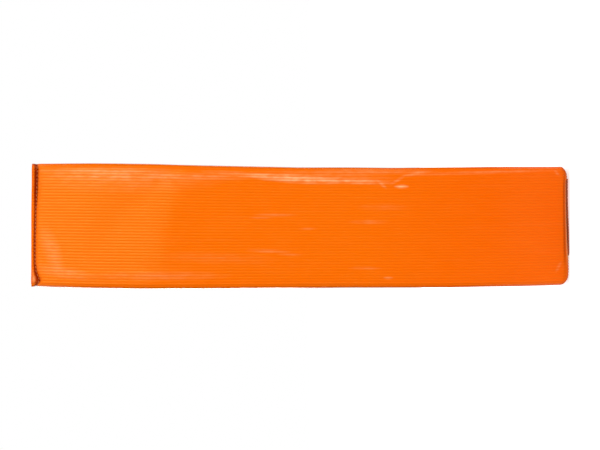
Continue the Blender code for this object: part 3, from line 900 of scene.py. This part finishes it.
for name, (side, level, free_edge, tips) in flaps.items():
    flap_length = folded + cover_half - fold_radius - free_edge
    blank, around = start_sheet()
    corner = blank.verts.new((-flap_half, 0, 0))
    walk(blank, corner, (rib_pitch, 0, 0), round(2 * flap_half / rib_pitch))
    flat_rows = round((flap_length - folded) / flap_row)
    flat_step = (flap_length - folded) / flat_rows
    add_rows(blank, [(0, folded / fold_rows, 0)] * fold_rows + [(0, flat_step, 0)] * flat_rows)
    cut_ribs(blank, [edge for edge in blank.edges if abs(edge.verts[0].co.y - edge.verts[1].co.y) < 0.01])
    for end, tip in zip((-1, 1), tips):
        hinge_end = Vector((end * flap_half, taper_start, 0))
        slant = Vector((tip, flap_length, 0)) - hinge_end
        bmesh.ops.bisect_plane(
            blank, geom=blank.verts[:] + blank.edges[:] + blank.faces[:], dist=0.01, plane_co=hinge_end,
            plane_no=(end * slant.y, -end * slant.x, 0), clear_outer=True,
        )
    for vert in blank.verts:
        vert[around] = vert.co.x / rib_pitch
    flap = fit_piece(name + "_sheet", blank, [])

    points = read_points(flap.data)
    across, run, _ = points.T.copy()
    turned = np.clip(run / fold_radius, 0, math.pi / 2)
    inset = fold_radius * (1 - np.cos(turned)) + np.maximum(run - folded, 0)
    out = cover_half - inset
    height = level + fold_radius * (1 - np.sin(turned)) - flap_drop(name, across, out) * np.sin(turned)
    along = way_along(side)
    outside = -way_along(side + 1)
    x = outside.x * cover_half + along.x * across
    y = outside.y * cover_half + along.y * across
    points[:, 0], points[:, 1] = fill_cover(x, y, height, inset)
    points[:, 2] = height
    write_points(flap.data, points)
    dirt_and_painted_shade = np.interp(turned, *flap_dirt)
    highlight_share = np.zeros_like(dirt_and_painted_shade)
    # The closing flap's curled free edge is darkened by painted shade
    if name == "closing_flap":
        dirt_and_painted_shade = np.interp(-out, *closing_edge_shade)
    if name == "front_flap":
        dirt_and_painted_shade, highlight_share = fold_shade_and_highlight(across, turned)
    write_dirt_shade_and_highlight(flap.data, dirt_and_painted_shade, highlight_share)
    finish_sheet(flap, up=-1)
    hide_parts(name)
    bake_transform(flap, "cover", name, start=outside * blend_start / 1000, end=outside * blend_end / 1000)


# Hook tape: black nylon tape with rows of small stiff hooks, sewn inside the closing flap along its free edge.
hook_low, hook_high = box_of("hook_tape")
tape_web = 0.35
tape_gap = 0.05
tape_cell = 2.0
tape_yarn = 0.7
lint_size = 2.5
pile_margin = 2
copy_shift = 0.12
copy_turn = 0.4
hook_pitch = 1.65
hook_bend = 0.32
hook_wire = 0.09
hook_turn = math.radians(230)

# Nylon tape is woven close and dyed black. It stays dull, and dust and lint grey it a little.
nylon_finish, tree, shader, place = start_finish("woven_nylon_tape")
lint = add_node(tree, "TexNoise", {"Vector": place, "Scale": 1000 / lint_size, "Detail": 4.0})
nylon_colour = add_node(tree, "Mix", {0: lint, 6: linear("#141416"), 7: linear("#2b2b2e")}, data_type="RGBA")
yarn_waves = {"Vector": place, "Scale": wave_scale(tape_yarn), "Distortion": 0.6}
yarns = add_node(tree, "TexWave", yarn_waves, bands_direction="X")
yarn_bump = add_node(tree, "Bump", {"Height": yarns, "Strength": 0.6, "Distance": 0.0002})
set_inputs(shader, {"Base Color": nylon_colour, "Normal": yarn_bump, "Roughness": 0.7})


def closing_top(x, y):
    """The height of the closing flap's inner side at a place on it."""
    return closing_level + sheet_thickness - flap_drop("closing_flap", -x, y)


def front_bottom(x, y):
    """The height of the front flap's outer side at a place on it."""
    return front_level - flap_drop("front_flap", x, -y)


def cut_tape(name, low, high, height_at, rise):
    """A strip of tape web, laid at a rise over the side of a flap."""
    strip = bmesh.new()
    cells = [round((high[axis] - low[axis]) / tape_cell) for axis in (0, 1)]
    bmesh.ops.create_grid(strip, x_segments=cells[0], y_segments=cells[1], size=0.5)
    bmesh.ops.scale(strip, vec=(high.x - low.x, high.y - low.y, 1), verts=strip.verts)
    bmesh.ops.translate(strip, vec=((low.x + high.x) / 2, (low.y + high.y) / 2, 0), verts=strip.verts)
    for vert in strip.verts:
        vert.co.z = height_at(vert.co.x, vert.co.y) + rise
    tape = fit_piece(name, strip, [nylon_finish])
    web = tape.modifiers.new("Web", "SOLIDIFY")
    web.thickness = tape_web / 1000
    web.offset = 0
    return tape


def copy_along(template, count, pitch, axis, seed):
    """A row of copies of a mesh, each a little out of line and turned a little, as one mesh."""
    chance = np.random.default_rng(seed)
    shape = bmesh.new()
    for number in range(count):
        known = len(shape.verts)
        shape.from_mesh(template)
        shape.verts.ensure_lookup_table()
        spot = Vector((chance.uniform(-copy_shift, copy_shift), chance.uniform(-copy_shift, copy_shift), 0))
        spot[axis] += (number - (count - 1) / 2) * pitch
        turned = Matrix.Rotation(chance.uniform(-copy_turn, copy_turn), 4, "Z") if axis == 0 else Matrix()
        bmesh.ops.transform(shape, matrix=Matrix.Translation(spot) @ turned, verts=shape.verts[known:])
    return keep_mesh(template.name + "_row", shape)


def cover_tape(template, low, high, pitch, height_at, rise, seed):
    """A small shape copied all over a tape, at a rise over the side of the flap that carries it."""
    counts = [int((high[axis] - low[axis] - pile_margin) / pitch) + 1 for axis in (0, 1)]
    pile = bmesh.new()
    pile.from_mesh(copy_along(copy_along(template, counts[0], pitch, 0, seed), counts[1], pitch, 1, seed + 1))
    bmesh.ops.translate(pile, vec=((low.x + high.x) / 2, (low.y + high.y) / 2, 0), verts=pile.verts)
    for vert in pile.verts:
        vert.co.z += height_at(vert.co.x, vert.co.y) + rise
    return pile


def bend_wire(name, wire, bend, turn, sides, steps, facing):
    """A short wire that stands up and bends over in an arc, as the mesh of one hook or loop."""
    shape = bmesh.new()
    ends = bmesh.ops.create_circle(shape, segments=sides, radius=wire, matrix=Matrix.Translation((bend, 0, 0)))
    bmesh.ops.spin(
        shape, geom=ends["verts"] + shape.edges[:], cent=(0, 0, 0), axis=(0, -1, 0), angle=turn, steps=steps
    )
    bmesh.ops.recalc_face_normals(shape, faces=shape.faces)
    bmesh.ops.scale(shape, vec=(1, 1, facing), verts=shape.verts)
    if facing < 0:
        bmesh.ops.reverse_faces(shape, faces=shape.faces)
    return keep_mesh(name, shape)


hook_strip = cut_tape("hook_strip", hook_low, hook_high, closing_top, tape_gap + tape_web / 2)
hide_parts("hook_tape")
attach(hook_strip, "closing_flap")

one_hook = bend_wire("one_hook", hook_wire, hook_bend, hook_turn, 4, 5, 1)
hooks = cover_tape(one_hook, hook_low, hook_high, hook_pitch, closing_top, tape_gap + tape_web, 3)
nylon_hooks = fit_piece("nylon_hooks", hooks, [nylon_finish])
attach(nylon_hooks, "closing_flap")


# Loop tape: black nylon tape with a pile of fine soft loops, sewn under the front flap where the hooks meet it.
loop_low, loop_high = box_of("loop_tape")
loop_pitch = 1.5
loop_bend = 0.3
loop_wire = 0.07
loop_turn = math.radians(200)

one_loop = bend_wire("one_loop", loop_wire, loop_bend, loop_turn, 3, 6, -1)
loops = cover_tape(one_loop, loop_low, loop_high, loop_pitch, front_bottom, -tape_gap - tape_web, 5)
nylon_loops = fit_piece("nylon_loops", loops, [nylon_finish])
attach(nylon_loops, "front_flap")

loop_strip = cut_tape("loop_strip", loop_low, loop_high, front_bottom, -tape_gap - tape_web / 2)
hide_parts("loop_tape")
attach(loop_strip, "front_flap")


# Thread: bonded orange polyester, sewn with a lockstitch. It runs round the groove under the fin, twice down the
# lap at the back, and round each tape on the outer side of its flap.
stitch_length = 2.6
stitch_pitch = 3.4
stitch_gap = 0.01
thread_width = 0.65
thread_height = 0.5
ply_width = 0.45
lap_seams = (-9.0, -4.5)
lap_seam_ends = (9, 449)
tape_seam_inset = 1.6

# The thread is two plies twisted, so each stitch is ridged across, and the ridges are painted: paler on the plies,
# with painted shade between them. It is paler than the dirt and painted shade that it lies in.
thread_finish, tree, shader, place = start_finish("bonded_polyester_thread")
ply_waves = {"Vector": place, "Scale": wave_scale(ply_width), "Distortion": 0.2}
plies = add_node(tree, "TexWave", ply_waves, bands_direction="DIAGONAL")
thread_colour = add_node(tree, "Mix", {0: plies, 6: linear("#c65520"), 7: linear("#f29c60")}, data_type="RGBA")
set_inputs(shader, {"Base Color": thread_colour, "Roughness": 0.6, "Specular IOR Level": 0.25})


def sew(shape, line, facing):
    """Sews stitches along a line of points. Facing is the way out of the sheet, or none round the cover."""
    line = np.asarray(line, float)
    run = np.append(0, np.cumsum(np.linalg.norm(np.diff(line, axis=0), axis=1)))
    for middle in np.arange(stitch_pitch / 2, run[-1] - stitch_pitch / 2, stitch_pitch):
        spot, before, after = [
            Vector([np.interp(middle + step, run, line[:, axis]) for axis in range(3)]) for step in (0, -1, 1)
        ]
        along = (after - before).normalized()
        out = Vector(facing) if facing else Vector((spot.x, spot.y, 0)).normalized()
        across = out.cross(along).normalized()
        turned = Matrix((along, across, along.cross(across))).transposed().to_4x4()
        size = Matrix.Diagonal((stitch_length / 2, thread_width / 2, thread_height / 2, 1))
        bmesh.ops.create_uvsphere(
            shape, u_segments=6, v_segments=4, radius=1, matrix=Matrix.Translation(spot) @ turned @ size
        )


def around_tape(low, high, height_at, rise):
    """The line of the stitches round a tape, on the other side of the flap that carries it."""
    left, right = low.x + tape_seam_inset, high.x - tape_seam_inset
    near, far = low.y + tape_seam_inset, high.y - tape_seam_inset
    corners = [(left, near), (right, near), (right, far), (left, far)]
    line = []
    for start, stop in zip(corners, corners[1:] + corners[:1]):
        for share in np.linspace(0, 1, 20)[:-1]:
            x = start[0] + (stop[0] - start[0]) * share
            y = start[1] + (stop[1] - start[1]) * share
            line.append((x, y, height_at(x, y) + rise))
    return line + line[:1]


cover_seams = bmesh.new()
sew(cover_seams, seam_run, None)
heights = np.linspace(*lap_seam_ends, 60)
for x in lap_seams:
    x_line, y_line = fill_cover(np.full_like(heights, x), np.full_like(heights, cover_half), heights, 0)
    sew(cover_seams, np.column_stack((x_line, y_line + lap_lift, heights)), (0, 1, 0))
cover_thread = fit_piece("cover_thread", cover_seams, [thread_finish])
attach(cover_thread, "cover")

# The stitches under the closing flap lie in its sheet, clear of the floor
sunk_in = thread_height / 2 + stitch_gap - sheet_thickness
closing_seams = bmesh.new()
sew(closing_seams, around_tape(hook_low, hook_high, closing_top, sunk_in), (0, 0, -1))
closing_thread = fit_piece("closing_thread", closing_seams, [thread_finish])
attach(closing_thread, "closing_flap")

front_seams = bmesh.new()
sew(front_seams, around_tape(loop_low, loop_high, front_bottom, sheet_thickness), (0, 0, 1))
front_thread = fit_piece("front_thread", front_seams, [thread_finish])
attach(front_thread, "front_flap")


# Studio: a white paper floor under plain soft light. The paper is also lit from within for the camera, which
# brings it up to the white of the background and leaves the pylon's shadow on it.
floor_half = 60000
paper_glow = 0.64
base_reach = 12
plain_light = 0.44
paper, tree, shader, place = start_finish("white_paper")
rays = add_node(tree, "LightPath", {})
glow = add_node(tree, "Math", {0: rays.outputs["Is Camera Ray"], 1: paper_glow}, operation="MULTIPLY")
set_inputs(shader, {"Base Color": linear("#f4f4f4"), "Roughness": 0.9, "Specular IOR Level": 0.0})
set_inputs(shader, {"Emission Color": (1, 1, 1, 1), "Emission Strength": glow})
# From below it is clear, so that the base can be seen, and the base that stands on it is lit through it
facing = add_node(tree, "NewGeometry", {})
near = add_node(tree, "Math", {0: rays.outputs["Ray Length"], 1: base_reach / 1000}, operation="LESS_THAN")
from_base = add_node(tree, "Math", {0: rays.outputs["Is Diffuse Ray"], 1: near}, operation="MULTIPLY")
passed = add_node(tree, "Math", {0: facing.outputs["Backfacing"], 1: from_base}, operation="MAXIMUM")
clear = add_node(tree, "BsdfTransparent", {})
one_way = add_node(tree, "MixShader", {0: passed, 1: shader, 2: clear})
set_inputs(tree.nodes["Material Output"], {"Surface": one_way})
floor = bmesh.new()
bmesh.ops.create_grid(floor, x_segments=1, y_segments=1, size=floor_half)
studio_floor = fit_piece("studio_floor", floor, [paper])

world = bpy.data.worlds.new("studio")
world.use_nodes = True
bpy.context.scene.world = world
tree = world.node_tree
rays = add_node(tree, "LightPath", {}).outputs
seen = add_node(tree, "Math", {0: rays["Is Camera Ray"], 1: rays["Is Glossy Ray"]}, operation="MAXIMUM")
shown = add_node(tree, "Math", {0: seen, 1: rays["Is Transmission Ray"]}, operation="MAXIMUM")
level = add_node(tree, "MapRange", {"Value": shown, "To Min": plain_light, "To Max": 1.0})
set_inputs(tree.nodes["Background"], {"Color": (1, 1, 1, 1), "Strength": level})

# Black flags keep the studio's white out of the gloss of the lower front, of a strip of it near the seam, and of
# the corners. Each has a size and a middle, and only mirrors see them, so they cast no shadow.
felt, tree, shader, place = start_finish("black_felt")
set_inputs(shader, {"Base Color": (0, 0, 0, 1), "Specular IOR Level": 0.0})
flag_places = {
    "black_flag_front": ((1320, 1, 390), (-100, -600, 196)),
    "black_flag_strip": ((50, 1, 120), (22, -600, 451)),
    "black_flag_left": ((1, 1400, 560), (-560, 80, 230)),
    "black_flag_right": ((1, 1400, 560), (560, 80, 230)),
}
for name, (flag_size, flag_middle) in flag_places.items():
    reach = Vector(flag_size) / 2
    black_flag = fit_piece(name, start_block(Vector(flag_middle) - reach, Vector(flag_middle) + reach), [felt])
    for ray in ("camera", "diffuse", "transmission", "volume_scatter", "shadow"):
        setattr(black_flag, "visible_" + ray, False)


def soft_box(name, spot, width, depth, power, mirrored=True):
    """A softbox that faces the pylon's middle. One that isn't mirrored leaves no shine on the vinyl."""
    light = bpy.data.lights.new(name, "AREA")
    light.shape = "RECTANGLE"
    light.size = width / 1000
    light.size_y = depth / 1000
    light.energy = power
    lamp = bpy.data.objects.new(name, light)
    lamp.location = Vector(spot) / 1000
    lamp.rotation_euler = (Vector((0, 0, 230)) - Vector(spot)).to_track_quat("-Z", "Y").to_euler()
    lamp.visible_glossy = mirrored
    bpy.context.scene.collection.objects.link(lamp)


soft_box("key_box", (800, -2350, 700), 1200, 1200, 22.5, mirrored=False)
soft_box("haze_box", (700, -2200, 950), 1300, 800, 9)
soft_box("back_box", (-700, 2300, 900), 1400, 1400, 32)
soft_box("top_box", (0, 300, 2600), 1200, 1200, 16, mirrored=False)

bpy.context.scene.view_settings.view_transform = "Standard"
